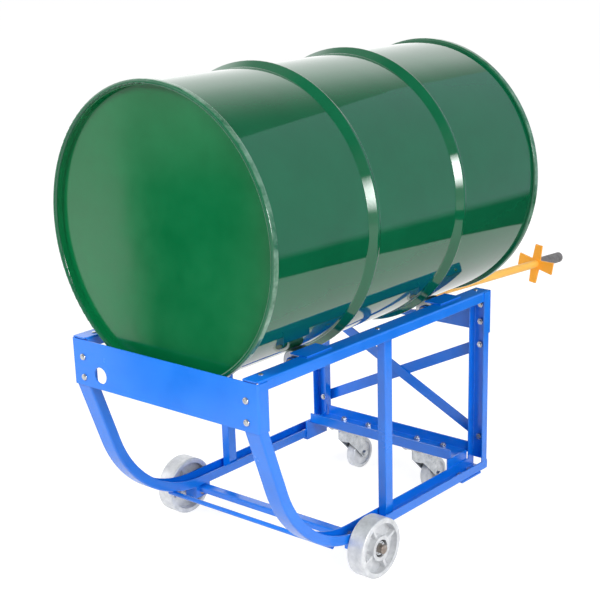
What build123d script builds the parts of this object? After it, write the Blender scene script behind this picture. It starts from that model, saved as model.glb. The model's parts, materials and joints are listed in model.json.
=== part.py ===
from build123d import *
import os
from math import atan2, cos, degrees, hypot, radians, sin, sqrt, tan

# A cart that carries a steel drum lying on four rollers, so that the drum can be turned by hand.
# Millimetres. X runs across the cart, Y from the front plate to the rear, Z up from the floor.
# Places along Y are counted from the front plate's face; save() moves the middle of the whole
# cart to Y = 0.

# Side frames, bent from one size of channel
frame_width = 503.0  # over the outer faces of the two side frames
frame_length = 776.0  # front plate's face to rear plate's face
rail_top = 506.0  # top face of the top rails
rail_bottom = 78.0  # underside of the bottom rails
channel_width = 40.0
channel_flange = 22.0
channel_wall = 2.5
channel_corner = 4.0  # outer radius of the channel's bent corners
leg_lean = 19.0  # degrees off plumb, below the front plate
leg_knee_radius = 30.0
leg_knee_rise = 5.0  # start of the knee above the front plate's lower edge
leg_sweep_radius = 266.0
mid_post_place = 403.0  # front face of the mid posts
mid_post_from_side = 14.0  # outer side of the mid post in from the frame's outer face
mid_post_across = 21.0
mid_post_along = 25.0
mid_post_wall = 2.0

# End plates
plate_wall = 2.5
plate_height = 97.5
plate_return = 27.5  # depth of the side returns
plate_corner = 5.0
plate_below_rail = 5.0  # front plate's top edge below the rail's top face
lever_hole_radius = 17.2
lever_hole_from_side = 77.4  # hole's centre in from the frame's outer face
lever_hole_above_edge = 30.2
front_bolt_from_side = 29.0
front_bolt_drop = 36.0  # upper bolt below the plate's top edge
front_bolt_spacing = 43.0
rear_plate_below_rail = 1.0
rear_bolt_drop = 34.0
rear_bolt_spacing = 40.0
saddle_clearance = 8.0  # room left between the drum and the lever that lies in the cut-out
saddle_web = 14.5  # plate left below the cut-out

# Crossed bars between the rear posts
brace_width = 25.0
brace_wall = 3.5
brace_below_plate = 31.0  # upper brace bolt below the rear plate
brace_foot = 54.0  # lower brace bolt above the bottom rail's edge

# Drum: a standard 210 litre tight-head steel drum
drum_radius = 286.5
drum_length = 888.0
drum_wall = 1.5
drum_place = 11.0  # front chime from the front plate's face
chime_height = 6.5  # chime over the shell
chime_depth = 14.0
chime_bead = 10.0
chime_round = 4.0
hoop_height = 11.5
hoop_half_width = 21.0
hoop_foot_radius = 6.0
hoop_crest_radius = 6.0
hoop_spacing = 292.0
head_recess = 16.0
head_skirt = 13.0  # length of the head's rim inside the chime
bung_radii = (29.0, 16.0)
bung_offset = 215.0
bung_height = 8.0
bung_slot = 6.0

# Rollers that carry the drum
roller_radius = 25.0
roller_width = 42.0
roller_inset = 40.0  # roller's axis in from the rail's inner face
roller_drop = 28.4  # roller's axis below the rail's top face
roller_places = (212.0, 657.0)
roller_pin_radius = 6.0
roller_pin_head = 3.0  # how far the pin's head stands out, around and along the pin
roller_side_gap = 2.0
roller_chamfer = 2.0
bracket_wall = 3.0
bracket_tab_length = 76.0
bracket_tab_reach = 22.0
bracket_overhang = 20.0  # bracket's top in past the rail's inner face
bracket_ear_radius = 12.0
bracket_clear_of_drum = 4.0

# Front wheels on two stub axles
wheel_radius = 65.0
wheel_width = 40.0
wheel_place = 311.0
wheel_clear_of_frame = 3.0
wheel_rim = 11.0
wheel_round = 3.0
wheel_web = 8.0
wheel_hub_radius = 27.0
wheel_rib_width = 7.0
wheel_rib_inset = 4.0
wheel_ribs = 4
wheel_rib_turn = 22.0  # degrees from the rear to the first rib
axle_radius = 10.0
axle_end = 8.0  # axle past the wheel's outer face
axle_chamfer = 1.0
bearing_radius = 19.0
bearing_inset = 5.0  # bearing's ends inside the wheel's faces
axle_beam_width = 24.0
axle_beam_height = 13.0
axle_beam_wall = 2.5
axle_block_inset = 3.0  # block's outer face in from the frame's outer face
axle_block_across = 34.0
axle_block_along = 44.0
axle_block_height = 27.0
axle_boss_wall = 2.5
axle_bolt_spacing = 32.0
axle_bolt_from_side = 28.0
axle_washer_radius = 15.0
axle_washer_wall = 1.5
split_pin_radius = 1.6
split_pin_reach = 4.0  # pin past the axle's surface

# Round rod under the bends of the legs
cross_rod_radius = 5.0
cross_rod_place = 226.0
cross_rod_inset = 17.0

# Caster channel and its brackets
caster_channel_width = 75.0
caster_channel_height = 25.0
caster_channel_wall = 3.0
caster_place = 721.0  # kingpin from the front plate's face
caster_channel_lag = 2.5  # channel's middle behind the kingpins
caster_spread = 222.0  # between the two kingpins
caster_bracket_length = 76.0
caster_bracket_wall = 4.0
caster_bracket_lead = 11.0  # bracket's middle ahead of the kingpins
caster_bracket_below_edge = 17.0  # bracket's top below the channel's edge
caster_bracket_bolt_spacing = 40.0

# Casters
caster_height = 114.0  # floor to the top of the caster's plate
caster_plate_across = 92.0
caster_plate_along = 60.0
caster_plate_wall = 3.0
caster_plate_corner = 6.0
caster_bolt_across = 75.0
caster_bolt_along = 45.0
caster_wheel_radius = 38.0
caster_wheel_width = 24.0
caster_wheel_round = 4.0
caster_wheel_rim = 9.0
caster_wheel_dish = 3.0
caster_wheel_hub_radius = 12.0
caster_trail = 35.0
caster_crown_radius = 30.0
caster_crown_wall = 4.0
caster_nose_height = 12.0
caster_race_height = 9.7
caster_race_width = 9.0
caster_fork_wall = 3.0
caster_fork_gap = 2.0  # wheel's side to the fork
caster_fork_foot = 12.0  # radius of the fork's end round the axle
kingpin_radius = 6.0
kingpin_head_radius = 11.0
kingpin_head_height = 4.0
caster_axle_radius = 5.0
caster_axle_head = 4.0

# Lever with its bung wrench, laid in the rear plate's cut-out with its front end under the drum
lever_radius = 10.5
lever_seat_gap = 0.4  # lever above the cut-out's edge
lever_behind_hoop = 18.0  # lever's front end behind the rear hoop
lever_chamfer = 1.5
wrench_place = 1388.0
wrench_wall = 6.0
wrench_reach = 52.0
wrench_turn = 8.0  # degrees the arms stand off upright
wrench_hub_radius = 18.0
broad_arm_root = 10.2
broad_arm_end = 16.4
narrow_arm_root = 12.5
narrow_arm_end = 9.6
grip_radius = 13.8
grip_length = 118.0
grip_cap = 8.0
grip_round = 3.0

# Fasteners
bolt_radius = 4.0
bolt_head_radius = 7.0
bolt_head_height = 4.0
head_round = 0.8  # rounding of a head, as a part of its height
nut_radius = 7.5
nut_height = 6.5
bolt_past_nut = 2.5
small_bolt_radius = 3.0
small_bolt_head_radius = 5.5
small_bolt_head_height = 3.0
small_nut_radius = 5.8
rivet_radius = 2.5
rivet_head_radius = 5.0
rivet_head_height = 2.0
rivet_tail = 1.5  # rivet past the rail's web
rivet_places = (37.5, 392.0, 752.0)
rivet_from_side = 24.0

# Clearances
running_gap = 0.05  # radial, for a pin or shaft that turns in its hole
hole_gap = 0.1  # radial, round a bolt
free_gap = 0.3  # between faces that pass each other

# Worked-out places
frame_half = frame_width / 2
rail_middle = frame_half - channel_width / 2
rail_inner = frame_half - channel_width
plate_top = rail_top - plate_below_rail
plate_bottom = plate_top - plate_height
rear_plate_top = rail_top - rear_plate_below_rail
post_back = frame_length - plate_wall
rail_flange_bottom = rail_top - channel_flange
low_flange_top = rail_bottom + channel_flange
roller_x = rail_inner - roller_inset
roller_z = rail_top - roller_drop
drum_z = roller_z + sqrt((drum_radius + roller_radius + free_gap) ** 2 - roller_x**2)
chime_radius = drum_radius + chime_height
hoop_places = (drum_length / 2 - hoop_spacing / 2, drum_length / 2 + hoop_spacing / 2)
hoop_spare = 2 * (hoop_foot_radius + hoop_crest_radius) - hoop_height
hoop_flank = 2 * atan2(hoop_half_width - sqrt(hoop_half_width**2 - hoop_spare * hoop_height), hoop_spare)
saddle_radius = drum_radius + 2 * lever_radius + saddle_clearance
rear_plate_bottom = drum_z - saddle_radius - saddle_web
brace_heights = (rear_plate_bottom - brace_below_plate, low_flange_top + brace_foot)
lever_seat = frame_length - plate_wall / 2
lever_z = drum_z - saddle_radius + lever_radius + lever_seat_gap  # over the cut-out's edge
lever_front = drum_place + hoop_places[1] + hoop_half_width + lever_behind_hoop
lever_rise = saddle_clearance - lever_seat_gap - free_gap  # seat to front end
lever_droop = atan2(lever_rise, lever_seat - lever_front)
lever_rear = wrench_place + wrench_wall + grip_length  # along the lever, as if it lay level
lever_end = lever_seat + (lever_rear - lever_seat) * cos(lever_droop)
front_end = -bolt_head_height
middle_y = (front_end + lever_end) / 2
front_bolt_x = frame_half - front_bolt_from_side
front_bolt_heights = (plate_top - front_bolt_drop, plate_top - front_bolt_drop - front_bolt_spacing)
rear_bolt_heights = (rear_plate_top - rear_bolt_drop, rear_plate_top - rear_bolt_drop - rear_bolt_spacing)
axle_bolt_x = frame_half - axle_bolt_from_side
axle_bolt_places = (wheel_place - axle_bolt_spacing / 2, wheel_place + axle_bolt_spacing / 2)
wheel_inner = frame_half + wheel_clear_of_frame
wheel_outer = wheel_inner + wheel_width
axle_block_end = frame_half - axle_block_inset
axle_beam_end = axle_block_end - axle_block_across
axle_block_bottom = rail_bottom - axle_block_height
caster_bracket_middle = caster_place - caster_bracket_lead
caster_bracket_bolt_places = (
    caster_bracket_middle - caster_bracket_bolt_spacing / 2,
    caster_bracket_middle + caster_bracket_bolt_spacing / 2,
)
caster_channel_end = rail_inner - caster_bracket_wall
caster_channel_middle = caster_place + caster_channel_lag
caster_bolts = [
    (side * caster_spread / 2 + across * caster_bolt_across / 2, caster_place + along * caster_bolt_along / 2)
    for side in (-1, 1)
    for across in (-1, 1)
    for along in (-1, 1)
]
crown_top = caster_height - caster_plate_wall - free_gap - caster_race_height
crown_bottom = crown_top - caster_crown_wall
fork_inside = caster_wheel_width / 2 + caster_fork_gap
fork_outside = fork_inside + caster_fork_wall


def save(name, *solids):
    """Writes one node, of one solid or a group of separate solids, with the cart centred on Y."""
    shape = solids[0] if len(solids) == 1 else Compound(children=list(solids))
    export_step(Pos(0, -middle_y, 0) * shape, f"parts/{name}.step")


def block(x, y, z):
    """Box between the two limits given for each axis."""
    centre = [(low + high) / 2 for low, high in (x, y, z)]
    return Pos(*centre) * Box(x[1] - x[0], y[1] - y[0], z[1] - z[0])


def rod_x(x, y, z, radius):
    return Pos((x[0] + x[1]) / 2, y, z) * Rot(0, 90, 0) * Cylinder(radius, x[1] - x[0])


def rod_y(x, y, z, radius):
    return Pos(x, (y[0] + y[1]) / 2, z) * Rot(90, 0, 0) * Cylinder(radius, y[1] - y[0])


def rod_z(x, y, z, radius):
    return Pos(x, y, (z[0] + z[1]) / 2) * Cylinder(radius, z[1] - z[0])


def other_side(shape):
    return mirror(shape, about=Plane.YZ)


def channel_section(width, flange, wall, corner):
    """Channel section with its web's outer face on the sketch's X axis and its flanges towards +Y."""
    section = Pos(0, flange / 2) * Rectangle(width, flange)
    section -= Pos(0, (flange + wall) / 2) * Rectangle(width - 2 * wall, flange - wall)
    outer = section.vertices().filter_by(lambda v: abs(v.Y) < 0.01)
    section = fillet(outer, corner)
    inside = section.vertices().filter_by(lambda v: abs(v.X) < width / 2 - wall + 0.01)
    inner = inside.filter_by(lambda v: abs(v.Y - wall) < 0.01)
    return fillet(inner, corner - wall)


def frame_channel():
    return channel_section(channel_width, channel_flange, channel_wall, channel_corner)


def domed_bolt(length, radius=bolt_radius, head_radius=bolt_head_radius, head_height=bolt_head_height):
    """Bolt along Z with its rounded head above Z = 0 and its shank below."""
    head = rod_z(0, 0, (0, head_height), head_radius)
    head = fillet(head.edges().filter_by(GeomType.CIRCLE).sort_by(Axis.Z)[-1], head_round * head_height)
    return head + rod_z(0, 0, (-length, 0), radius)


def nut(bolt=bolt_radius, size=nut_radius):
    """Hexagon nut on Z = 0, upwards, for a bolt of the given radius."""
    return extrude(RegularPolygon(size, 6), nut_height) - rod_z(0, 0, (0, nut_height), bolt + hole_gap)


def facing_front(x, y, z):
    """Place that turns +Z to face -Y."""
    return Pos(x, y, z) * Rot(90, 0, 0)


def facing_rear(x, y, z):
    """Place that turns +Z to face +Y."""
    return Pos(x, y, z) * Rot(-90, 0, 0)


def facing_down(x, y, z):
    return Pos(x, y, z) * Rot(180, 0, 0)


def top_rail():
    """Right top rail: web up, flanges down, with its web's front end over the front plate's edge."""
    start = Plane((rail_middle, plate_corner, rail_top), x_dir=(1, 0, 0), z_dir=(0, 1, 0))
    rail = extrude(start * frame_channel(), frame_length - 2 * plate_corner)
    web_z = (rail_top - channel_wall, rail_top)
    rail += block((rail_inner + channel_corner, frame_half - channel_corner), (0, plate_corner), web_z)
    for place in rivet_places:
        rail -= rod_z(frame_half - rivet_from_side, place, web_z, rivet_radius + hole_gap)
    return rail


def leg_fall():
    """Height of the leg's straight run between its knee and its large bend."""
    lean = radians(leg_lean)
    bends = leg_knee_radius * sin(lean) + leg_sweep_radius * (1 - sin(lean))
    return plate_bottom + leg_knee_rise - rail_bottom - bends


def leg_rail():
    """Right leg and bottom rail, bent from one length of channel with its flanges inside the bends."""
    upright = Line((plate_wall, rail_flange_bottom), (plate_wall, plate_bottom + leg_knee_rise))
    knee = JernArc(upright @ 1, upright % 1, leg_knee_radius, leg_lean)
    shin = Line(knee @ 1, (knee @ 1) + (knee % 1) * (leg_fall() / cos(radians(leg_lean))))
    bend = JernArc(shin @ 1, shin % 1, leg_sweep_radius, 90 - leg_lean)
    level = Line(bend @ 1, (post_back, (bend @ 1).Y))
    path = Pos(rail_middle, 0, 0) * (Plane.YZ * Wire([upright, knee, shin, bend, level]))
    start = Plane((rail_middle, plate_wall, rail_flange_bottom), x_dir=(-1, 0, 0), z_dir=(0, 0, -1))
    leg = sweep(start * frame_channel(), path=path)
    web_y = (plate_wall, plate_wall + channel_wall)
    web_z = (rail_bottom, rail_bottom + channel_wall)
    nut_seat_z = (rail_bottom + channel_wall, rail_bottom + 2 * channel_wall)
    for height in front_bolt_heights:
        leg -= rod_y(front_bolt_x, web_y, height, bolt_radius + hole_gap)
    for place in axle_bolt_places:
        leg -= rod_z(axle_bolt_x, place, web_z, small_bolt_radius + hole_gap)
        leg -= rod_z(axle_bolt_x, place, nut_seat_z, small_nut_radius + hole_gap)
    for place in caster_bracket_bolt_places:
        leg -= rod_z(rail_middle, place, web_z, bolt_radius + hole_gap)
    return leg


def leg_bend_centre():
    """Centre of the leg's large bend, as (Y, Z)."""
    lean = radians(leg_lean)
    y = plate_wall + leg_knee_radius * (1 - cos(lean)) + leg_fall() * tan(lean)
    return y + leg_sweep_radius * cos(lean), rail_bottom + leg_sweep_radius


def rear_post():
    """Right rear post: web to the rear, flanges forward, between the two rails' flanges."""
    start = Plane((rail_middle, post_back, low_flange_top), x_dir=(-1, 0, 0), z_dir=(0, 0, 1))
    post = extrude(start * frame_channel(), rail_flange_bottom - low_flange_top)
    for height in rear_bolt_heights + brace_heights:
        post -= rod_y(rail_middle, (post_back - channel_wall, post_back), height, bolt_radius + hole_gap)
    return post


def mid_post():
    """Right mid post: a tube between the webs of the bottom rail and the top rail."""
    x = (frame_half - mid_post_from_side - mid_post_across, frame_half - mid_post_from_side)
    y = (mid_post_place, mid_post_place + mid_post_along)
    z = (rail_bottom + channel_wall, rail_top - channel_wall)
    wall = mid_post_wall
    tube = fillet(block(x, y, z).edges().filter_by(Axis.Z), wall)
    return tube - block((x[0] + wall, x[1] - wall), (y[0] + wall, y[1] - wall), z)


def end_plate(face_y, bottom, top, towards):
    """Plate across the frame with side returns outside it, towards +1 to the rear or -1 to the front."""
    width = frame_width + 2 * plate_wall
    start = Plane((0, face_y, bottom), x_dir=(towards, 0, 0), z_dir=(0, 0, 1))
    return extrude(start * channel_section(width, plate_return, plate_wall, plate_corner), top - bottom)


def front_plate():
    """Front plate with a round hole near its left end."""
    plate = end_plate(0, plate_bottom, plate_top, 1)
    wall = (0, plate_wall)
    for height in front_bolt_heights:
        for side in (-1, 1):
            plate -= rod_y(side * front_bolt_x, wall, height, bolt_radius + hole_gap)
    hole_x = lever_hole_from_side - frame_half
    return plate - rod_y(hole_x, wall, plate_bottom + lever_hole_above_edge, lever_hole_radius)


def rear_plate():
    """Rear plate, cut out round the drum."""
    plate = end_plate(frame_length, rear_plate_bottom, rear_plate_top, -1)
    wall = (post_back, frame_length)
    for height in rear_bolt_heights:
        for side in (-1, 1):
            plate -= rod_y(side * rail_middle, wall, height, bolt_radius + hole_gap)
    return plate - rod_y(0, wall, drum_z, saddle_radius)


def brace_bar(direction, face_y):
    """Flat bar across the rear posts; direction +1 falls to the right and -1 rises to the right."""
    high, low = brace_heights
    run = 2 * rail_middle
    face = Plane((0, face_y, (high + low) / 2), x_dir=(1, 0, 0), z_dir=(0, -1, 0))
    slope = -direction * degrees(atan2(high - low, run))
    outline = SlotCenterToCenter(hypot(run, high - low), brace_width)
    bar = extrude(face * (Rot(0, 0, slope) * outline), -brace_wall)
    wall = (face_y, face_y + brace_wall)
    for side in (-1, 1):
        height = low if side == direction else high
        bar -= rod_y(side * rail_middle, wall, height, bolt_radius + hole_gap)
    return bar


def brace_spacers():
    """Rings that stand the outer brace bar off the posts by the inner bar's thickness."""
    wall = (post_back, post_back + brace_wall)
    rings = []
    for side, height in zip((1, -1), brace_heights):
        ring = rod_y(side * rail_middle, wall, height, brace_width / 2)
        rings.append(ring - rod_y(side * rail_middle, wall, height, bolt_radius + hole_gap))
    return rings


def axle_beam():
    """Slim channel between the two axle blocks, with its flanges down."""
    start = Plane((-axle_beam_end, wheel_place, rail_bottom), x_dir=(0, -1, 0), z_dir=(1, 0, 0))
    section = channel_section(axle_beam_width, axle_beam_height, axle_beam_wall, axle_beam_wall + 1)
    return extrude(start * section, 2 * axle_beam_end)


def axle_block():
    """Right block under the bottom rail that holds a stub axle, with a boss towards the wheel."""
    y = (wheel_place - axle_block_along / 2, wheel_place + axle_block_along / 2)
    x = (axle_beam_end, axle_block_end)
    holder = block(x, y, (axle_block_bottom, rail_bottom))
    boss_end = wheel_inner + bearing_inset - free_gap
    holder += rod_x((axle_block_end, boss_end), wheel_place, wheel_radius, axle_radius + axle_boss_wall)
    for place in axle_bolt_places:
        hole = (axle_block_bottom, rail_bottom)
        holder -= rod_z(axle_bolt_x, place, hole, small_bolt_radius + hole_gap)
    return holder - rod_x((axle_beam_end, boss_end), wheel_place, wheel_radius, axle_radius)


def front_wheel():
    """Right cast wheel: rim, web, hub and ribs, turning about X."""
    rim_inside = wheel_radius - wheel_rim
    rim = Cylinder(wheel_radius, wheel_width)
    rim = fillet(rim.edges().filter_by(GeomType.CIRCLE), wheel_round)
    rim -= Cylinder(rim_inside, wheel_width)
    wheel = rim + Cylinder(rim_inside, wheel_web) + Cylinder(wheel_hub_radius, wheel_width)
    rib_height = wheel_width - 2 * wheel_rib_inset
    rib_end = rim_inside + wheel_rim / 2
    rib = Pos(rib_end / 2, 0, 0) * Box(rib_end, wheel_rib_width, rib_height)
    for number in range(wheel_ribs):
        wheel += Rot(0, 0, wheel_rib_turn + number * 360 / wheel_ribs) * rib
    wheel -= Cylinder(bearing_radius, wheel_width)
    return Pos((wheel_inner + wheel_outer) / 2, wheel_place, wheel_radius) * Rot(0, 90, 0) * wheel


def axle_ring(x, radius, bore):
    ring = rod_x(x, wheel_place, wheel_radius, radius)
    return ring - rod_x(x, wheel_place, wheel_radius, bore)


def wheel_bearing():
    """Right hub bearing, pressed into the wheel and running on the axle."""
    x = (wheel_inner + bearing_inset, wheel_outer - bearing_inset)
    return axle_ring(x, bearing_radius, axle_radius + running_gap)


def axle_washer():
    """Right washer between the hub bearing and the split pin."""
    start = wheel_outer - bearing_inset + free_gap
    return axle_ring((start, start + axle_washer_wall), axle_washer_radius, axle_radius)


def split_pin():
    """Straight pin through the right stub axle's end, outside the washer."""
    x = wheel_outer + axle_end / 3
    reach = axle_radius + split_pin_reach
    return rod_z(x, wheel_place, (wheel_radius - reach, wheel_radius + reach), split_pin_radius)


def stub_axle():
    """Right stub axle, from the inside of its block to the split pin."""
    axle = rod_x((axle_beam_end, wheel_outer + axle_end), wheel_place, wheel_radius, axle_radius)
    axle = chamfer(axle.edges().filter_by(GeomType.CIRCLE), axle_chamfer)
    return axle - split_pin()


def cross_rod():
    """Round rod under the bends of both legs."""
    centre_y, centre_z = leg_bend_centre()
    reach = leg_sweep_radius + cross_rod_radius + running_gap
    z = centre_z - sqrt(reach**2 - (cross_rod_place - centre_y) ** 2)
    end = frame_half - cross_rod_inset
    return rod_x((-end, end), cross_rod_place, z, cross_rod_radius)


def caster_channel():
    """Channel with its flanges up that carries both casters."""
    end = (-caster_channel_end, caster_channel_middle, caster_height)
    start = Plane(end, x_dir=(0, 1, 0), z_dir=(1, 0, 0))
    wall = caster_channel_wall
    section = channel_section(caster_channel_width, caster_channel_height, wall, wall + 1)
    channel = extrude(start * section, 2 * caster_channel_end)
    for x, y in caster_bolts:
        channel -= rod_z(x, y, (caster_height, caster_height + wall), bolt_radius + hole_gap)
    return channel


def caster_bracket():
    """Right bracket: down from the caster channel's end, then out under the bottom rail."""
    half = caster_bracket_length / 2
    y = (caster_bracket_middle - half, caster_bracket_middle + half)
    foot_z = (rail_bottom - caster_bracket_wall, rail_bottom)
    top = caster_height + caster_channel_height - caster_bracket_below_edge
    bracket = block((caster_channel_end, rail_inner), y, (foot_z[0], top))
    bracket += block((caster_channel_end, frame_half), y, foot_z)
    for place in caster_bracket_bolt_places:
        bracket -= rod_z(rail_middle, place, foot_z, bolt_radius + hole_gap)
    return bracket


def caster_plate(side):
    x = side * caster_spread / 2
    z = (caster_height - caster_plate_wall, caster_height)
    across = (x - caster_plate_across / 2, x + caster_plate_across / 2)
    along = (caster_place - caster_plate_along / 2, caster_place + caster_plate_along / 2)
    plate = fillet(block(across, along, z).edges().filter_by(Axis.Z), caster_plate_corner)
    for bolt_x, bolt_y in caster_bolts:
        if bolt_x * side > 0:
            plate -= rod_z(bolt_x, bolt_y, z, bolt_radius + hole_gap)
    return plate


def caster_kingpin(side):
    """Rivet that hangs the fork's crown under the caster's plate."""
    x = side * caster_spread / 2
    head_top = crown_bottom - free_gap
    pin = rod_z(x, caster_place, (head_top, caster_height - caster_plate_wall), kingpin_radius)
    return pin + rod_z(x, caster_place, (head_top - kingpin_head_height, head_top), kingpin_head_radius)


def caster_fork(side):
    """Crown with its ball race and rounded nose, and two legs that lead back to the wheel's axle."""
    x = side * caster_spread / 2
    axle_y = caster_place + caster_trail
    race_top = crown_top + caster_race_height
    nose_bottom = crown_bottom - caster_nose_height
    fork = rod_z(x, caster_place, (crown_bottom, race_top), caster_crown_radius)
    fork -= rod_z(x, caster_place, (crown_top, race_top), caster_crown_radius - caster_race_width)
    nose = rod_z(x, caster_place, (nose_bottom, crown_bottom), caster_crown_radius)
    nose -= rod_z(x, caster_place, (nose_bottom, crown_bottom), caster_crown_radius - caster_fork_wall)
    reach = sqrt(caster_crown_radius**2 - fork_outside**2)
    front_half = (caster_place - caster_crown_radius, caster_place - reach / 2)
    wide = (x - caster_crown_radius, x + caster_crown_radius)
    fork += nose & block(wide, front_half, (nose_bottom, crown_bottom))
    leg_points = [
        (caster_place - reach, crown_top),
        (caster_place + reach, crown_top),
        (axle_y + caster_fork_foot, caster_wheel_radius),
        (axle_y - caster_fork_foot, caster_wheel_radius),
        (caster_place - reach, nose_bottom),
    ]
    outline = make_face(Polyline(*leg_points, close=True))
    outline += Pos(axle_y, caster_wheel_radius) * Circle(caster_fork_foot)
    for start in (x - fork_outside, x + fork_inside):
        fork += extrude(Pos(start, 0, 0) * (Plane.YZ * outline), caster_fork_wall)
    fork -= rod_z(x, caster_place, (crown_bottom, crown_top), kingpin_radius + running_gap)
    across = (x - fork_outside, x + fork_outside)
    return fork - rod_x(across, axle_y, caster_wheel_radius, caster_axle_radius)


def caster_wheel(side):
    wheel = Cylinder(caster_wheel_radius, caster_wheel_width)
    wheel = fillet(wheel.edges().filter_by(GeomType.CIRCLE), caster_wheel_round)
    dish = Cylinder(caster_wheel_radius - caster_wheel_rim, caster_wheel_dish)
    dish -= Cylinder(caster_wheel_hub_radius, caster_wheel_dish)
    for face in (-1, 1):
        wheel -= Pos(0, 0, face * (caster_wheel_width - caster_wheel_dish) / 2) * dish
    wheel -= Cylinder(caster_axle_radius + running_gap, caster_wheel_width)
    centre = Pos(side * caster_spread / 2, caster_place + caster_trail, caster_wheel_radius)
    return centre * Rot(0, 90, 0) * wheel


def caster_axle(side):
    """Bolt through the fork and the caster wheel, with its nut on the left."""
    x = side * caster_spread / 2
    y = caster_place + caster_trail
    end = fork_outside + nut_height + bolt_past_nut
    bolt = rod_x((x - end, x + fork_outside), y, caster_wheel_radius, caster_axle_radius)
    head = extrude(RegularPolygon(nut_radius, 6), caster_axle_head)
    bolt += Pos(x + fork_outside, y, caster_wheel_radius) * Rot(0, 90, 0) * head
    return [bolt, Pos(x - fork_outside, y, caster_wheel_radius) * Rot(0, -90, 0) * nut(caster_axle_radius)]


def roller_bracket(place):
    """Right bracket: a flat top on the rail that reaches in over the roller, a back and two ears."""
    half = roller_width / 2 + roller_side_gap + bracket_wall
    y = (place - half, place + half)
    back_x = (rail_inner - bracket_wall, rail_inner)
    bracket = block(back_x, y, (roller_z - bracket_ear_radius, rail_top))
    tab_x = (rail_inner - bracket_overhang, rail_inner + bracket_tab_reach)
    bracket += block(tab_x, (y[1] - bracket_tab_length, y[1]), (rail_top, rail_top + bracket_wall))
    ear_height = 2 * bracket_ear_radius
    ear = Pos((rail_inner + roller_x) / 2, roller_z) * Rectangle(rail_inner - roller_x, ear_height)
    ear += Pos(roller_x, roller_z) * Circle(bracket_ear_radius)
    ear -= Pos(0, drum_z) * Circle(drum_radius + bracket_clear_of_drum)
    for end in (y[0] + bracket_wall, y[1]):
        face = Plane((0, end, 0), x_dir=(1, 0, 0), z_dir=(0, -1, 0))
        bracket += extrude(face * ear, bracket_wall)
    return bracket - rod_y(roller_x, y, roller_z, roller_pin_radius)


def roller(side, place):
    wheel = Cylinder(roller_radius, roller_width)
    wheel = chamfer(wheel.edges().filter_by(GeomType.CIRCLE), roller_chamfer)
    wheel -= Cylinder(roller_pin_radius + running_gap, roller_width)
    return Pos(side * roller_x, place, roller_z) * Rot(90, 0, 0) * wheel


def roller_pin(side, place):
    """Pin through both ears with a low head at its front end."""
    half = roller_width / 2 + roller_side_gap + bracket_wall
    pin = rod_y(side * roller_x, (place - half, place + half), roller_z, roller_pin_radius)
    head = (place - half - roller_pin_head, place - half)
    return pin + rod_y(side * roller_x, head, roller_z, roller_pin_radius + roller_pin_head)


def drooped(shape):
    """Tilts a piece of the lever about its seat, so that its front end comes up under the drum."""
    seat = Pos(0, lever_seat, lever_z)
    return seat * Rot(-degrees(lever_droop), 0, 0) * seat.inverse() * shape


def lever_bar():
    """Round bar that rests on the lowest point of the rear plate's cut-out."""
    bar = rod_y(0, (lever_front, lever_rear - grip_cap), lever_z, lever_radius)
    return chamfer(bar.edges().filter_by(GeomType.CIRCLE), lever_chamfer)


def wrench_arm(root, end):
    """Flat arm along the sketch's X, of half widths root at the middle and end at the tip."""
    return make_face(Polyline((0, -root), (wrench_reach, -end), (wrench_reach, end), (0, root), close=True))


def bung_wrench():
    """Four-armed plate on the lever: two broad arms that flare outwards and two narrow ones."""
    arms = Circle(wrench_hub_radius)
    for turn in (0, 180):
        arms += Rot(0, 0, turn) * wrench_arm(broad_arm_root, broad_arm_end)
        arms += Rot(0, 0, turn + 90) * wrench_arm(narrow_arm_root, narrow_arm_end)
    face = Plane((0, wrench_place + wrench_wall, lever_z), x_dir=(1, 0, 0), z_dir=(0, -1, 0))
    plate = extrude(face * (Rot(0, 0, -wrench_turn) * arms), wrench_wall)
    return plate - rod_y(0, (wrench_place, wrench_place + wrench_wall), lever_z, lever_radius)


def lever_grip():
    """Closed sleeve over the lever's end."""
    y = (lever_rear - grip_length, lever_rear)
    grip = rod_y(0, y, lever_z, grip_radius)
    grip = fillet(grip.edges().filter_by(GeomType.CIRCLE).sort_by(Axis.Y)[-1], grip_round)
    return grip - rod_y(0, (y[0], lever_rear - grip_cap), lever_z, lever_radius)


def shell_line(inset):
    """The drum's side as (place, radius) curves, moved inwards by inset, from the front seam to the rear."""
    radius = drum_radius - inset
    foot = hoop_foot_radius * sin(hoop_flank)
    crown = hoop_crest_radius * sin(hoop_flank)
    low = radius + hoop_foot_radius * (1 - cos(hoop_flank))
    high = radius + hoop_height - hoop_crest_radius * (1 - cos(hoop_flank))
    curves = []
    last = chime_depth
    for place in hoop_places:
        start = place - hoop_half_width
        end = place + hoop_half_width
        curves.append(Line((last, radius), (start, radius)))
        curves.append(TangentArc((start, radius), (start + foot, low), tangent=(1, 0)))
        curves.append(Line((start + foot, low), (place - crown, high)))
        crest = (place, radius + hoop_height)
        curves.append(ThreePointArc((place - crown, high), crest, (place + crown, high)))
        curves.append(Line((place + crown, high), (end - foot, low)))
        curves.append(TangentArc((end, radius), (end - foot, low), tangent=(-1, 0)))
        last = end
    curves.append(Line((last, radius), (drum_length - chime_depth, radius)))
    return curves


def drum_turned(face):
    """Turns a (place, radius) face about the drum's axis and lays it in the cart."""
    return Pos(0, drum_place, drum_z) * Rot(0, 0, 90) * revolve(face, Axis.X)


def drum_shell():
    """Rolled sheet with two hoops, and a rolled seam at each end."""
    outer = shell_line(0.0)
    inner = shell_line(drum_wall)
    ends = [Line(outer[0] @ 0, inner[0] @ 0), Line(outer[-1] @ 1, inner[-1] @ 1)]
    shell = drum_turned(make_face([*outer, *inner, *ends]))
    seam = RectangleRounded(chime_depth + drum_wall, chime_bead, chime_round)
    for place in ((chime_depth + drum_wall) / 2, drum_length - (chime_depth + drum_wall) / 2):
        shell += drum_turned(Pos(place, chime_radius - chime_bead / 2) * seam)
    return shell


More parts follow.
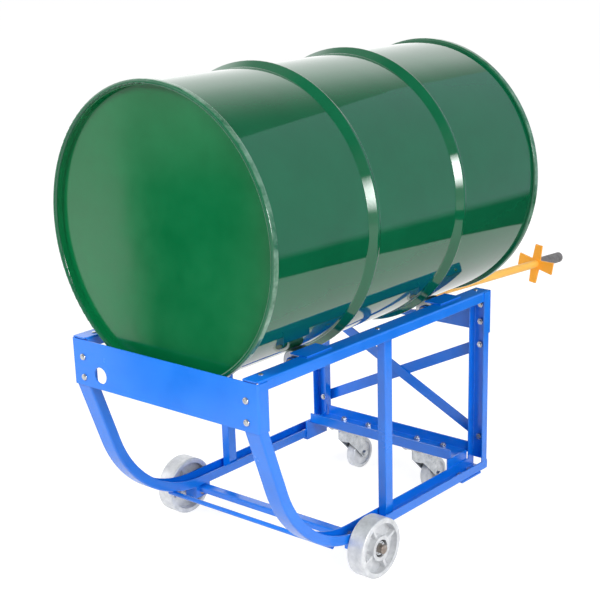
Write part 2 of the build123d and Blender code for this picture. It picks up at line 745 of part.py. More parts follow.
def drum_head(place, inward):
    """End of the drum, set in from the seam; inward is +1 at the front and -1 at the rear."""
    rim = chime_radius - chime_bead
    deep = head_recess + drum_wall
    skirt_place = place + inward * (deep - head_skirt / 2)
    skirt = Pos(skirt_place, rim - drum_wall / 2) * Rectangle(head_skirt, drum_wall)
    flat = Pos(place + inward * (deep - drum_wall / 2), rim / 2) * Rectangle(drum_wall, rim)
    return drum_turned(skirt + flat)


def bung_plugs():
    """Large and small plug in the rear head, on opposite sides of its middle."""
    head = drum_place + drum_length - head_recess
    y = (head, head + bung_height)
    plugs = []
    for radius, side in zip(bung_radii, (1, -1)):
        z = drum_z + side * bung_offset
        slot = block((-radius / 2, radius / 2), (sum(y) / 2, y[1]), (z - bung_slot / 2, z + bung_slot / 2))
        plugs.append(rod_y(0, y, z, radius) - slot)
    return plugs


def through_bolt(walls):
    """Domed bolt long enough for the given walls and a nut."""
    return domed_bolt(sum(walls) + nut_height + bolt_past_nut)


def front_plate_bolts():
    bolt = through_bolt((plate_wall, channel_wall))
    return [facing_front(side * front_bolt_x, 0, z) * bolt for side in (-1, 1) for z in front_bolt_heights]


def rear_plate_bolts():
    bolt = through_bolt((plate_wall, channel_wall))
    heads = [facing_rear(side * rail_middle, frame_length, z) for side in (-1, 1) for z in rear_bolt_heights]
    return [head * bolt for head in heads]


def brace_bolts():
    """Bolts through the brace bars and the posts, heads to the rear."""
    bolts = []
    for side in (-1, 1):
        for direction, height in zip((1, -1), brace_heights):
            bars = 1 if side * direction < 0 else 2
            head = facing_rear(side * rail_middle, post_back + bars * brace_wall, height)
            bolts.append(head * through_bolt([brace_wall] * bars + [channel_wall]))
    return bolts


def axle_block_bolts():
    """Small bolts up through the axle blocks into the bottom rails."""
    length = axle_block_height + channel_wall + nut_height + bolt_past_nut
    bolt = domed_bolt(length, small_bolt_radius, small_bolt_head_radius, small_bolt_head_height)
    x, z = axle_bolt_x, axle_block_bottom
    return [facing_down(side * x, y, z) * bolt for side in (-1, 1) for y in axle_bolt_places]


def caster_bracket_bolts():
    bolt = through_bolt((caster_bracket_wall, channel_wall))
    x, z = rail_middle, rail_bottom - caster_bracket_wall
    return [facing_down(side * x, y, z) * bolt for side in (-1, 1) for y in caster_bracket_bolt_places]


def caster_bolts_up():
    bolt = through_bolt((caster_plate_wall, caster_channel_wall))
    return [facing_down(x, y, caster_height - caster_plate_wall) * bolt for x, y in caster_bolts]


def caster_nuts():
    return [Pos(x, y, caster_height + caster_channel_wall) * nut() for x, y in caster_bolts]


def frame_nuts():
    """Nuts on the end plates' bolts, the brace bolts and the bottom rails' bolts."""
    nuts = []
    trough = rail_bottom + channel_wall
    for side in (-1, 1):
        for height in front_bolt_heights:
            nuts.append(facing_rear(side * front_bolt_x, plate_wall + channel_wall, height) * nut())
        for height in rear_bolt_heights + brace_heights:
            nuts.append(facing_front(side * rail_middle, post_back - channel_wall, height) * nut())
        for place in axle_bolt_places:
            nuts.append(Pos(side * axle_bolt_x, place, trough) * nut(small_bolt_radius, small_nut_radius))
        for place in caster_bracket_bolt_places:
            nuts.append(Pos(side * rail_middle, place, trough) * nut())
    return nuts


def rail_rivets():
    rivet = domed_bolt(channel_wall + rivet_tail, rivet_radius, rivet_head_radius, rivet_head_height)
    x = frame_half - rivet_from_side
    return [Pos(side * x, place, rail_top) * rivet for side in (-1, 1) for place in rivet_places]


def side_pair(name, shape):
    """Writes a right-hand piece and its left-hand twin."""
    save(f"right_{name}", shape)
    save(f"left_{name}", other_side(shape))


def save_frame():
    side_pair("top_rail", top_rail())
    side_pair("leg_rail", leg_rail())
    side_pair("rear_post", rear_post())
    side_pair("mid_post", mid_post())
    save("front_plate", front_plate())
    save("rear_plate", rear_plate())
    save("falling_brace_bar", brace_bar(1, post_back))
    save("rising_brace_bar", brace_bar(-1, post_back + brace_wall))
    save("brace_spacers", *brace_spacers())
    save("axle_beam", axle_beam())
    save("cross_rod", cross_rod())
    save("caster_channel", caster_channel())
    side_pair("caster_bracket", caster_bracket())


def save_wheels():
    save("axle_blocks", axle_block(), other_side(axle_block()))
    save("stub_axles", stub_axle(), other_side(stub_axle()))
    save("axle_washers", axle_washer(), other_side(axle_washer()))
    save("split_pins", split_pin(), other_side(split_pin()))
    side_pair("front_wheel", front_wheel())
    side_pair("wheel_bearing", wheel_bearing())
    save("caster_plates", caster_plate(-1), caster_plate(1))
    save("caster_kingpins", caster_kingpin(-1), caster_kingpin(1))
    for side, name in ((-1, "left"), (1, "right")):
        save(f"{name}_caster_fork", caster_fork(side))
        save(f"{name}_caster_wheel", caster_wheel(side))
        save(f"{name}_caster_axle", *caster_axle(side))


def save_rollers():
    for place, end in zip(roller_places, ("front", "rear")):
        bracket = roller_bracket(place)
        save(f"{end}_right_roller_bracket", bracket)
        save(f"{end}_left_roller_bracket", other_side(bracket))
        save(f"{end}_right_roller", roller(1, place))
        save(f"{end}_left_roller", roller(-1, place))
    save("roller_pins", *[roller_pin(side, place) for side in (-1, 1) for place in roller_places])


def save_lever():
    save("lever_bar", drooped(lever_bar()))
    save("bung_wrench", drooped(bung_wrench()))
    save("lever_grip", drooped(lever_grip()))


def save_drum():
    save("drum_shell", drum_shell())
    save("drum_front_head", drum_head(0.0, 1))
    save("drum_rear_head", drum_head(drum_length, -1))
    save("drum_bung_plugs", *bung_plugs())


def save_fasteners():
    save("front_plate_bolts", *front_plate_bolts())
    save("rear_plate_bolts", *rear_plate_bolts())
    save("brace_bolts", *brace_bolts())
    save("axle_block_bolts", *axle_block_bolts())
    save("caster_bracket_bolts", *caster_bracket_bolts())
    save("caster_bolts", *caster_bolts_up())
    save("caster_nuts", *caster_nuts())
    save("frame_nuts", *frame_nuts())
    save("rail_rivets", *rail_rivets())


os.makedirs("parts", exist_ok=True)
save_frame()
save_wheels()
save_rollers()
save_lever()
save_drum()
save_fasteners()
print(f"cart runs from {front_end:.2f} to {lever_end:.2f} along Y, middle at {middle_y:.3f}")
print(f"drum axis at {drum_z:.1f}, rear plate's lower edge at {rear_plate_bottom:.1f}")
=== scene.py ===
# %% [markdown]
# # A cart that turns a steel drum
# The cart is a blue channel frame on two cast wheels and two swivel casters. A green drum lies on four
# rollers, and an orange lever with a bung wrench lies under the drum and stands out at the rear. The
# shapes come ready from CAD, in metres, and Blender adds what CAD has no word for: paint, plating,
# rubber and light.

# %% Load the CAD frame
import json
import math

import bpy
from mathutils import Matrix, Quaternion, Vector


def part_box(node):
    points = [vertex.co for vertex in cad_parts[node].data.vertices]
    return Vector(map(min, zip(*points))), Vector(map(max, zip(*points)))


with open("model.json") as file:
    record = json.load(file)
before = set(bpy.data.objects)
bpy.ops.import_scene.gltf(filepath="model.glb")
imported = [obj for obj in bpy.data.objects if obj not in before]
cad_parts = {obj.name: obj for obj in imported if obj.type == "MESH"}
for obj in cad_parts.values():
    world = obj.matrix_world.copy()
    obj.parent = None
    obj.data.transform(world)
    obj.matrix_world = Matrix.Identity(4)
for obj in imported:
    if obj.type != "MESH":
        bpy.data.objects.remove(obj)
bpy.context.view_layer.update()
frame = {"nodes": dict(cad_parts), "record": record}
bpy.ops.object.select_all(action="DESELECT")

# %% [markdown]
# ## Small tools for every finish
# A paint maker names a colour as it looks on a screen, and Blender's shaders want it linear, so one
# function turns a hex value into linear light. Node trees could be wired by hand, line by line. One
# function that adds a node, sets it and links it keeps each finish short enough to read. No real finish
# is one flat colour, so another function lets a colour drift between two tones.

# %% Colour and node helpers
def linear(code):
    """Linear RGBA of an sRGB hex colour: a straight run near black, then a power curve."""
    parts = [int(code[place:place + 2], 16) / 255 for place in (1, 3, 5)]
    return [p / 12.92 if p <= 0.04045 else ((p + 0.055) / 1.055) ** 2.4 for p in parts] + [1.0]


def add(tree, kind, inputs=None, **settings):
    """Adds a node, sets its settings, and fills its inputs with values or links."""
    made = tree.nodes.new("ShaderNode" + kind)
    for name, value in settings.items():
        setattr(made, name, value)
    for socket, value in (inputs or {}).items():
        if isinstance(value, bpy.types.NodeSocket):
            tree.links.new(value, made.inputs[socket])
        else:
            made.inputs[socket].default_value = value
    return made


def start_finish(name):
    """New material, its empty node tree, and the Object coordinates of the piece it is on."""
    finish = bpy.data.materials.new(name)
    finish.use_nodes = True
    finish.node_tree.nodes.clear()
    place = add(finish.node_tree, "TexCoord").outputs["Object"]
    return finish, finish.node_tree, place


print("helpers ready, mid grey is", round(linear("#808080")[0], 3))

# %% Sizes and tones of a cloudy finish
cloud_low = 0.3     # nearly all of a noise's values lie between these two
cloud_high = 0.7


def per_metre(millimetres):
    """Scale of a noise whose features are about that large."""
    return 1000 / millimetres


def two_tones(tree, cloud, dark, light, start=cloud_low, end=cloud_high):
    """Colour that drifts from one hex tone to another as a cloud's value goes from start to end."""
    share = add(tree, "MapRange", {"Value": cloud, "From Min": start, "From Max": end}).outputs[0]
    mixed = add(tree, "Mix", {0: share, 6: linear(dark), 7: linear(light)}, data_type="RGBA")
    return mixed.outputs[2]


print("a noise with features of 10 mm has the scale", per_metre(10))

# %% [markdown]
# ## Green enamel on the drum
# A steel drum is sprayed with a gloss stoving enamel. It flows out almost like glass, so it mirrors
# the room, and what gives it away as thin sheet is that the mirror picture bends a little. A pale line
# is painted along the rolled seams at both ends: partly scuffs where drums knock together, and partly a
# painted highlight on the seams' crests. Painting masks by hand would work on one drum only. Here the
# distance from the drum's axis tells the shader where the seams are.

# %% Where the drum's seams are
drum_low, drum_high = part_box("drum_shell")
drum_axis = (drum_low + drum_high) / 2
drum_half = drum_high.y - drum_axis.y
seam_radius = 0.293
seam_depth = 0.03       # how far from each end the seam's scuffs and painted highlight are looked for
scuff_and_highlight_start = 0.0016    # depth under the seam's crest at which scuffs and painted highlight begin
scuff_and_highlight_full = 0.0003     # depth at which scuffs and painted highlight are as strong as they get
print("drum", round(2 * drum_half, 3), "m long, crest of the seams at", seam_radius, "m")

# %% Green enamel
pale_patch_mm = 70           # from one pale patch of scuff and painted highlight on a seam to the next
smudge_mm = 160         # hand marks and dust
ripple_mm = 150         # waves in the thin sheet
ripple_depth = 0.0007
flow_mm = 5             # waves left in the sprayed skin, a little larger than real ones so that they show
flow_depth = 0.00002
pale_patch_start = 0.4        # the noise's values between which scuff and painted highlight grow to their most
pale_patch_full = 0.75
pale_patch_most = 0.8         # share of the pale tone where scuff and painted highlight are full
haze_start = 0.35       # the noise's values between which hand marks dull the gloss
haze_full = 0.75
# pale green of the seams' scuffs and of the highlight painted on their crests
scuff_and_highlight_green = "#8FAE9C"
enamel_ior = 1.55


def green_enamel(name, dark, light, gloss, haze):
    """Stoved gloss enamel: deep colour under a smooth clear skin, with pale scuffs and a painted highlight
    on the seams.
    """
    finish, tree, place = start_finish(name)
    from_axis = add(tree, "VectorMath", {0: place, 1: drum_axis}, operation="SUBTRACT").outputs[0]
    across = add(tree, "VectorMath", {0: from_axis, 1: (1, 0, 1)}, operation="MULTIPLY").outputs[0]
    radius = add(tree, "VectorMath", {0: across}, operation="LENGTH").outputs["Value"]
    # The seams' crests get a pale line that is partly scuffs and partly a painted highlight.
    crest = add(tree, "MapRange", {"Value": radius, "From Min": seam_radius - scuff_and_highlight_start,
                                   "From Max": seam_radius - scuff_and_highlight_full}).outputs[0]
    along = add(tree, "SeparateXYZ", {0: from_axis}).outputs["Y"]
    from_middle = add(tree, "Math", {0: along}, operation="ABSOLUTE").outputs[0]
    at_seam = add(tree, "Math", {0: from_middle, 1: drum_half - seam_depth},
                  operation="GREATER_THAN").outputs[0]
    on_crest = add(tree, "Math", {0: crest, 1: at_seam}, operation="MULTIPLY").outputs[0]
    pale_patch_noise = add(tree, "TexNoise", {"Vector": place, "Scale": per_metre(pale_patch_mm), "Detail": 6.0,
                                    "Roughness": 0.7}).outputs["Fac"]
    pale_patches = add(tree, "MapRange", {"Value": pale_patch_noise, "From Min": pale_patch_start, "From Max": pale_patch_full,
                                   "To Max": pale_patch_most}).outputs[0]
    worn_and_highlit = add(tree, "Math", {0: on_crest, 1: pale_patches}, operation="MULTIPLY").outputs[0]
    smudge = add(tree, "TexNoise", {"Vector": place, "Scale": per_metre(smudge_mm), "Detail": 5.0,
                                    "Roughness": 0.6}).outputs["Fac"]
    shade = two_tones(tree, smudge, dark, light)
    # The pale seam line, scuffs and painted highlight, is mixed into the enamel's colour here.
    colour = add(tree, "Mix", {0: worn_and_highlit, 6: shade, 7: linear(scuff_and_highlight_green)}, data_type="RGBA").outputs[2]
    rough = add(tree, "MapRange", {"Value": smudge, "From Min": haze_start, "From Max": haze_full,
                                   "To Min": gloss, "To Max": gloss + haze}).outputs[0]
    ripple = add(tree, "TexNoise", {"Vector": place, "Scale": per_metre(ripple_mm),
                                    "Detail": 1.0}).outputs["Fac"]
    sheet = add(tree, "Bump", {"Height": ripple, "Strength": 1.0, "Distance": ripple_depth}).outputs[0]
    flow = add(tree, "TexNoise", {"Vector": place, "Scale": per_metre(flow_mm),
                                  "Detail": 2.0}).outputs["Fac"]
    skin = add(tree, "Bump", {"Height": flow, "Strength": 1.0, "Distance": flow_depth,
                              "Normal": sheet}).outputs[0]
    coat = add(tree, "BsdfPrincipled", {"Base Color": colour, "Roughness": rough, "IOR": enamel_ior,
                                        "Normal": skin})
    add(tree, "OutputMaterial", {"Surface": coat.outputs[0]})
    return finish


# The shell's enamel is nearly a mirror, and shows the room as crisp bands.
shell_enamel = green_enamel("drum_stoved_enamel", dark="#045032", light="#065838", gloss=0.035, haze=0.05)
# The heads' enamel is duller, so the same room shows there as a soft glow.
head_enamel = green_enamel("drum_head_enamel", dark="#035A30", light="#056639", gloss=0.12, haze=0.1)
print("enamel for the shell and for the heads:", shell_enamel.name, head_enamel.name)

# %% [markdown]
# ## Powder coat on the frame and the lever
# The channels, plates and brackets are powder coated: ground paint is baked to a thick skin that
# rounds every sheared edge and has a faint orange peel. Real edge rounding would change the meshes of
# the CAD nodes, so the Bevel node rounds only what the light sees. The lever and its wrench are
# painted the same way, in orange and with less gloss.

# %% Powder coat
tone_mm = 90            # slow drift of the colour over a rail
peel_mm = 2.5           # orange peel
peel_depth = 0.00006
gloss_drift = 0.08      # how much duller the coat gets from place to place


def powder_coat(name, dark, light, round_mm, gloss, skin_ior):
    """Baked powder: even colour, satin gloss, fine orange peel and soft edges."""
    finish, tree, place = start_finish(name)
    cloud = add(tree, "TexNoise", {"Vector": place, "Scale": per_metre(tone_mm),
                                   "Detail": 4.0}).outputs["Fac"]
    shade = two_tones(tree, cloud, dark, light)
    edge = add(tree, "Bevel", {"Radius": round_mm / 1000}, samples=6).outputs[0]
    peel = add(tree, "TexNoise", {"Vector": place, "Scale": per_metre(peel_mm),
                                  "Detail": 2.0}).outputs["Fac"]
    skin = add(tree, "Bump", {"Height": peel, "Strength": 1.0, "Distance": peel_depth,
                              "Normal": edge}).outputs[0]
    rough = add(tree, "MapRange", {"Value": cloud, "From Min": cloud_low, "From Max": cloud_high,
                                   "To Min": gloss, "To Max": gloss + gloss_drift}).outputs[0]
    coat = add(tree, "BsdfPrincipled", {"Base Color": shade, "Roughness": rough, "IOR": skin_ior,
                                        "Normal": skin})
    add(tree, "OutputMaterial", {"Surface": coat.outputs[0]})
    return finish


# The frame's coat is a strong blue with a clear gloss that whitens at a flat angle.
blue_coat = powder_coat("frame_blue_powder_coat", "#036EDA", "#0776E4", round_mm=1.2, gloss=0.2,
                        skin_ior=1.62)
# The wrench is flat plate in a satin orange, and the bar's paint is paler and a little shinier.
orange_coat = powder_coat("wrench_orange_powder_coat", "#FFA92C", "#FFB238", round_mm=1.0, gloss=0.4,
                          skin_ior=1.45)
bar_coat = powder_coat("lever_orange_paint", "#FFBA48", "#FFC65A", round_mm=0.8, gloss=0.38, skin_ior=1.5)
print("powder coats:", blue_coat.name, orange_coat.name, bar_coat.name)

# %% [markdown]
# ## Bare and plated metal
# Bolts, nuts, forks and caster plates are zinc plated: bright, slightly blue and cloudy where the bath
# left its marks. The wheels are castings with an aluminium paint, so they look grainy and only half
# metallic. The axles and pins are turned bar that has started to rust, and the drum's rolling keeps the
# rollers bright. One function makes all four, because they differ only in colour, shine and grain.

# %% Plating, castings and turned bar
metal_edge = 0.0008     # rounding of a plated or turned edge
polish_drift = 0.1      # how much duller the dark clouds are than the pale ones


def metal(name, dark, light, cloud_mm, shine, rough, grain_mm, grain_depth_mm):
    """Metal whose colour drifts between two tones, with a grain as deep as its making leaves it."""
    finish, tree, place = start_finish(name)
    cloud = add(tree, "TexNoise", {"Vector": place, "Scale": per_metre(cloud_mm), "Detail": 6.0,
                                   "Roughness": 0.65}).outputs["Fac"]
    shade = two_tones(tree, cloud, dark, light)
    edge = add(tree, "Bevel", {"Radius": metal_edge}, samples=6).outputs[0]
    grain = add(tree, "TexNoise", {"Vector": place, "Scale": per_metre(grain_mm),
                                   "Detail": 3.0}).outputs["Fac"]
    skin = add(tree, "Bump", {"Height": grain, "Strength": 1.0, "Distance": grain_depth_mm / 1000,
                              "Normal": edge}).outputs[0]
    polish = add(tree, "MapRange", {"Value": cloud, "From Min": cloud_low, "From Max": cloud_high,
                                    "To Min": rough + polish_drift, "To Max": rough}).outputs[0]
    surface = add(tree, "BsdfPrincipled", {"Base Color": shade, "Metallic": shine, "Roughness": polish,
                                           "Normal": skin})
    add(tree, "OutputMaterial", {"Surface": surface.outputs[0]})
    return finish


# Zinc is bright with soft grey clouds.
zinc_plate = metal("zinc_plated_steel", "#A6AAAE", "#D0D2D4", cloud_mm=14, shine=0.85, rough=0.18,
                   grain_mm=3, grain_depth_mm=0.02)
# Aluminium paint over a sand casting is pale and dull, with the sand's grain under it.
cast_paint = metal("cast_iron_aluminium_paint", "#C2C4C7", "#E2E3E5", cloud_mm=18, shine=0.4, rough=0.36,
                   grain_mm=1.6, grain_depth_mm=0.12)
# Turned bar left bare goes brown in patches.
turned_bar = metal("turned_bar_with_rust", "#7C6A5E", "#A9A29B", cloud_mm=9, shine=0.7, rough=0.4,
                   grain_mm=1.2, grain_depth_mm=0.03)
# The drum rubs the rollers clean, so they are plain bright steel.
bright_bar = metal("turned_bar_kept_bright", "#C4C2BF", "#E2E1DF", cloud_mm=12, shine=1.0, rough=0.26,
                   grain_mm=1.2, grain_depth_mm=0.03)
print("metals:", zinc_plate.name, cast_paint.name, turned_bar.name, bright_bar.name)

# %% [markdown]
# ## Rubber and bearing rings
# The grip is a dipped sleeve, dull and a little grey with dust. The hub rings are dark and greasy. Both
# are dark skins with something pale lying in their texture, so one function makes them, and only the
# roughness tells dry rubber from grease.

# %% Rubber and grease
dust_mm = 12
dust_start = 0.35       # the noise's value from which dust lies on the skin
pore_mm = 1.5           # real pores are finer, and these are as coarse as they need to be to show
pore_depth = 0.0001


def soft_black(name, dark, light, rough):
    """Dull dark skin with dust in its fine texture."""
    finish, tree, place = start_finish(name)
    dust = add(tree, "TexNoise", {"Vector": place, "Scale": per_metre(dust_mm),
                                  "Detail": 6.0}).outputs["Fac"]
    shade = two_tones(tree, dust, dark, light, start=dust_start)
    pores = add(tree, "TexNoise", {"Vector": place, "Scale": per_metre(pore_mm),
                                   "Detail": 3.0}).outputs["Fac"]
    skin = add(tree, "Bump", {"Height": pores, "Strength": 1.0, "Distance": pore_depth}).outputs[0]
    surface = add(tree, "BsdfPrincipled", {"Base Color": shade, "Roughness": rough, "Normal": skin})
    add(tree, "OutputMaterial", {"Surface": surface.outputs[0]})
    return finish


# Dusty rubber is a soft grey with no highlight, and grease is nearly black with a dull one.
grip_rubber = soft_black("grip_dipped_rubber", "#625F5F", "#807D7D", rough=0.6)
bearing_grease = soft_black("bearing_ring_grease", "#151414", "#2B2827", rough=0.35)
print("dark finishes:", grip_rubber.name, bearing_grease.name)

# %% [markdown]
# ## Each node gets its finish
# The record says which material slot each CAD node has, so one table from slot to finish dresses the
# whole cart. The drum's heads, the lever's bar and the four rollers have a finish of their own within
# their slot.

# %% Dress the CAD nodes
slot_finish = {
    "blue_paint": blue_coat,
    "green_enamel": shell_enamel,
    "orange_paint": orange_coat,
    "grip_rubber": grip_rubber,
    "zinc_steel": zinc_plate,
    "cast_wheel": cast_paint,
    "bearing_black": bearing_grease,
    "axle_steel": turned_bar,
}
rollers = [f"{end}_{side}_roller" for end in ("front", "rear") for side in ("left", "right")]
own_finish = dict.fromkeys(rollers, bright_bar)
own_finish |= {
    "drum_front_head": head_enamel,
    "drum_rear_head": head_enamel,
    "lever_bar": bar_coat,
}
for part in frame["record"]["subparts"]:
    piece = frame["nodes"][part["node"]]
    piece.data.materials.clear()
    piece.data.materials.append(own_finish.get(part["node"], slot_finish[part["material_slot"]]))

# %% [markdown]
# ## Camera
# The photograph was taken from the front right and a little above the drum, with a long lens. A camera
# could be set by eye. Here the angles, the distance and the lens were solved from the drum's circles and
# the frame's corners, so the render lies over the photograph. The lens is shifted a little because the
# point that the camera looks at isn't in the middle of the picture.

# %% Where the camera stands
azimuth = math.radians(38.88)
elevation = math.radians(18.86)
roll = math.radians(1.02)
distance = 2.86726
plate_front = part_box("front_plate")[0].y
aim = Vector((0.16024, plate_front + 0.36773, 0.4003))
view_way = Vector((-math.sin(azimuth), math.cos(azimuth), 0.0))
right_way = Vector((math.cos(azimuth), math.sin(azimuth), 0.0))
up_way = Vector((0, 0, 1))
back = up_way * math.sin(elevation) - view_way * math.cos(elevation)
print("camera's way back from the aim", [round(v, 3) for v in back])

# %% Camera
frame_pixels = 600
focal_pixels = 1385.48
aim_pixel = (345, 375)
camera_data = bpy.data.cameras.new("photo_camera")
camera = bpy.data.objects.new("photo_camera", camera_data)
bpy.context.scene.collection.objects.link(camera)
bpy.context.scene.camera = camera
camera.location = aim + back * distance
camera.rotation_mode = "QUATERNION"
camera.rotation_quaternion = (-back).to_track_quat("-Z", "Y") @ Quaternion((0, 0, 1), -roll)
camera_data.sensor_width = 36
camera_data.lens = focal_pixels / frame_pixels * camera_data.sensor_width
camera_data.shift_x = (frame_pixels / 2 - aim_pixel[0]) / frame_pixels
camera_data.shift_y = (aim_pixel[1] - frame_pixels / 2) / frame_pixels
bpy.context.scene.view_settings.view_transform = "Standard"
print("camera at", [round(v, 3) for v in camera.location])
print("lens of", round(camera_data.lens, 1), "mm")

# %% [markdown]
# ## Floor
# The photograph has a plain white ground, so the floor is a white sheet that only keeps a soft shadow.
# Lighting a floor until it is white would wash out the cart as well. This one shines by itself to the
# camera and to reflections, through Light Path, and its lit part adds the shadow.

# %% Floor
floor_size = 60
floor_glow = 0.84       # a little under white, so that the lit part brings it to white and the shadow stays
bpy.ops.mesh.primitive_plane_add(size=floor_size)
floor = bpy.context.object
floor.name = "studio_floor"


def ways_of_seeing(tree):
    """1 for a ray that shows the background, and 1 for one of these that a glossy surface mirrors."""
    path = add(tree, "LightPath").outputs
    mirrored = path["Is Glossy Ray"]
    seen = add(tree, "Math", {0: path["Is Camera Ray"], 1: mirrored}, operation="MAXIMUM").outputs[0]
    shown = add(tree, "Math", {0: seen, 1: path["Is Transmission Ray"]}, operation="MAXIMUM").outputs[0]
    return shown, mirrored


floor_paper = bpy.data.materials.new("white_paper_floor")
floor_paper.use_nodes = True
paper_tree = floor_paper.node_tree
paper_tree.nodes.clear()
floor_shown = ways_of_seeing(paper_tree)[0]
glow = add(paper_tree, "Emission", {"Color": (1, 1, 1, 1), "Strength": floor_glow})
lit = add(paper_tree, "BsdfDiffuse", {"Color": linear("#A0A0A0")})
paper = add(paper_tree, "AddShader", {0: glow.outputs[0], 1: lit.outputs[0]})
plain = add(paper_tree, "BsdfDiffuse", {"Color": linear("#E6E6E6")})
ground = add(paper_tree, "MixShader", {"Fac": floor_shown, 1: plain.outputs[0], 2: paper.outputs[0]})
add(paper_tree, "OutputMaterial", {"Surface": ground.outputs[0]})
floor.data.materials.append(floor_paper)
print("floor", floor.name, "with", floor_paper.name)

# %% [markdown]
# ## The room around the cart
# Something round and glossy is a mirror of the studio, so the studio decides how it looks. The backdrop
# on the left is lit brighter than white, as in a studio where it has to burn out. The camera's side is
# dim, and the ceiling takes most of the light from both: these give the enamel its depth. A modelled
# room would do the same with more work. The world shows this room to mirror rays only: the camera still
# sees plain white, and the soft light on the cart is the same from all sides.

# %% World
white_side = (-0.985, 0.17, 0.0)
dim_side_level = 0.38
backdrop_level = 1.55
ceiling_share = 0.36    # what the ceiling leaves of either level
soft_level = 0.46       # the even light that falls on the cart
ceiling_from = 0.45     # rise of the direction at which the ceiling begins, as a sine
ceiling_full = 0.75
backdrop_from = 0.04    # nearness of the direction to the white side, as a cosine
backdrop_full = 0.46
world = bpy.data.worlds.new("white_backdrop_dark_ceiling")
bpy.context.scene.world = world
world.use_nodes = True
room_tree = world.node_tree
room_tree.nodes.clear()
towards = add(room_tree, "TexCoord").outputs["Generated"]
height = add(room_tree, "SeparateXYZ", {0: towards}).outputs["Z"]
under_ceiling = add(room_tree, "MapRange", {"Value": height,
                                            "From Min": ceiling_from, "From Max": ceiling_full,
                                            "To Min": 1.0, "To Max": ceiling_share},
                    interpolation_type="SMOOTHSTEP").outputs[0]
sideways = add(room_tree, "VectorMath", {0: towards, 1: white_side},
               operation="DOT_PRODUCT").outputs["Value"]
backdrop = add(room_tree, "MapRange", {"Value": sideways,
                                       "From Min": backdrop_from, "From Max": backdrop_full,
                                       "To Min": dim_side_level, "To Max": backdrop_level},
               interpolation_type="SMOOTHSTEP").outputs[0]
room = add(room_tree, "Math", {0: under_ceiling, 1: backdrop}, operation="MULTIPLY").outputs[0]
room_shown, room_mirrored = ways_of_seeing(room_tree)
even = add(room_tree, "MapRange", {"Value": room_shown, "To Min": soft_level, "To Max": 1.0}).outputs[0]
strength = add(room_tree, "Mix", {0: room_mirrored, 2: even, 3: room}).outputs[0]
sky = add(room_tree, "Background", {"Color": (1, 1, 1, 1), "Strength": strength})
add(room_tree, "OutputWorld", {"Surface": sky.outputs[0]})
print("world", world.name)

# %% [markdown]
# ## Lamps
# A softbox stands high in front, on the left of the camera, and a larger and stronger one on the right.
# A sun lamp would cast hard shadows that a studio doesn't have. The softboxes only give light. What the
# enamel mirrors is set by the cards below.

# %% Softboxes
def softbox(name, spot, target, size, power):
    """Square area lamp that looks at a point and doesn't show in reflections."""
    lamp = bpy.data.lights.new(name, "AREA")
    lamp.energy = power
    lamp.size = size
    made = bpy.data.objects.new(name, lamp)
    bpy.context.scene.collection.objects.link(made)
    made.location = spot
    made.rotation_euler = (Vector(target) - Vector(spot)).to_track_quat("-Z", "Y").to_euler()
    made.visible_glossy = False
    print(name, size, "m wide,", power, "W")


softbox("left_softbox", spot=(-1.6, -3.5, 3.0), target=(0, -0.2, 0.5), size=1.8, power=132)
softbox("right_softbox", spot=(3.6, -1.7, 2.6), target=(0, -0.1, 0.5), size=2.4, power=156)

# %% [markdown]
# ## Cards in the reflections
# A photographer stands white panels and dark cloths round a glossy object and watches their mirror
# picture in it. One tall panel on the right gives the drum its broad pale sheen. A dark cloth on the
# floor at the panel's foot gives the dark band under the sheen, and the foot fades so that the band's
# upper edge is soft. A bright lamp face on the right puts a spark on each hoop, and an upright dark
# cloth in front of the drum's head gives the head its deep green part. The cards show in reflections
# only, so they neither light nor shade the cart.

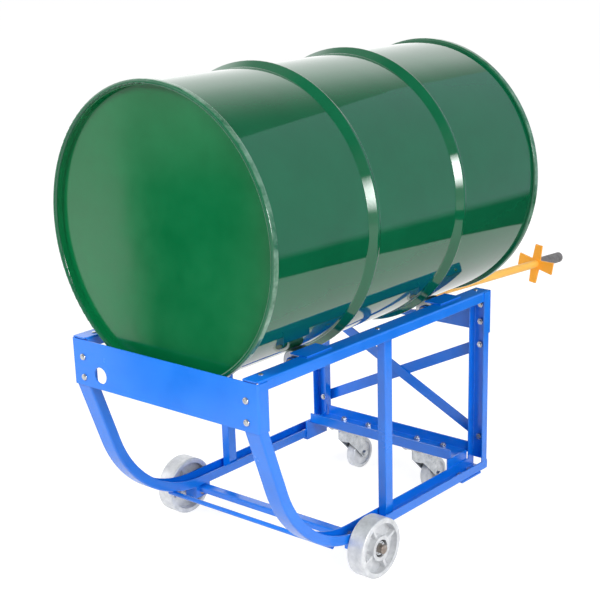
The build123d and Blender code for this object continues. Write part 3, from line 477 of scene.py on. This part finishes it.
# %% How a card is made
def card(name, corner, side, rise, tone, strength, fades):
    """Flat card from a corner along two edges, with a fade at each edge's start and end, as shares of it."""
    bpy.ops.mesh.primitive_plane_add(size=1)
    made = bpy.context.object
    made.name = name
    facing = side.cross(rise).normalized()
    turned = Matrix((side, rise, facing)).transposed().to_4x4()
    made.matrix_world = Matrix.Translation(corner + (side + rise) / 2) @ turned
    for ray in ("camera", "diffuse", "transmission", "shadow", "volume_scatter"):
        setattr(made, "visible_" + ray, False)
    finish, tree, place = start_finish(name + "_cloth")
    parts = add(tree, "SeparateXYZ", {0: place}).outputs
    cover = 1.0
    for (axis, sign), fade in zip((("X", -1), ("X", 1), ("Y", -1), ("Y", 1)), fades):
        share = add(tree, "MapRange", {"Value": parts[axis], "From Min": sign * (0.5 - fade),
                                       "From Max": sign * 0.5, "To Min": 1.0, "To Max": 0.0}).outputs[0]
        cover = add(tree, "Math", {0: cover, 1: share}, operation="MULTIPLY").outputs[0]
    clear = add(tree, "BsdfTransparent").outputs[0]
    glow = add(tree, "Emission", {"Color": linear(tone), "Strength": strength}).outputs[0]
    covered = add(tree, "MixShader", {"Fac": cover, 1: clear, 2: glow})
    add(tree, "OutputMaterial", {"Surface": covered.outputs[0]})
    made.data.materials.append(finish)
    print(name, round(side.length, 2), "x", round(rise.length, 2), "m")


drum_foot = Vector((drum_axis.x, drum_axis.y, 0.0))
print("cards stand round", [round(v, 3) for v in drum_foot])

# %% Panel and floor cloth beside the drum
panel_away = 2.4
panel_length = 4.67
panel_height = 3.85
panel_nearer = 1.6      # how far its near end is from the drum's middle, towards the camera
panel_start = drum_foot + right_way * panel_away - view_way * panel_nearer
card("pale_panel", panel_start, view_way * panel_length, up_way * panel_height, tone="#DCEFFF",
     strength=0.84, fades=(0.006, 0.006, 0.045, 0.006))
cloth_away = 1.38
cloth_length = 6.0
cloth_past_panel = 2.0
cloth_width = panel_away - cloth_away + cloth_past_panel
cloth_nearer = 2.0
above_floor = 0.003
cloth_start = drum_foot + right_way * cloth_away - view_way * cloth_nearer + up_way * above_floor
card("floor_cloth", cloth_start, view_way * cloth_length, right_way * cloth_width, tone="#2C322F",
     strength=1.0, fades=(0.02, 0.02, 0.007, 0.02))

# %% Lamp face for the hoops and cloth for the head
lamp_width = 1.05
lamp_height = 1.35
lamp_start = drum_foot + Vector((3.2, -1.2, 0.65))
card("lamp_face", lamp_start, Vector((0, lamp_width, 0)), up_way * lamp_height, tone="#FFFFFF",
     strength=30.0, fades=(0.3, 0.3, 0.4, 0.35))
mirrored_way = Vector((-0.744, -0.668, 0.0))    # the way the camera's view leaves the head, a metre long
beside = Vector((0.668, -0.744, 0.0))           # square to it
head_cloth_width = 0.56
head_cloth_height = 0.95
head_cloth_lead = 0.085     # how far it starts before the middle of the view
head_cloth_lift = 0.02
head_foot = drum_foot - Vector((0, drum_half, 0))
head_start = head_foot + mirrored_way - beside * head_cloth_lead + up_way * head_cloth_lift
card("head_cloth", head_start, beside * head_cloth_width, up_way * head_cloth_height, tone="#0C110E",
     strength=1.0, fades=(0.06, 0.45, 0.04, 0.36))
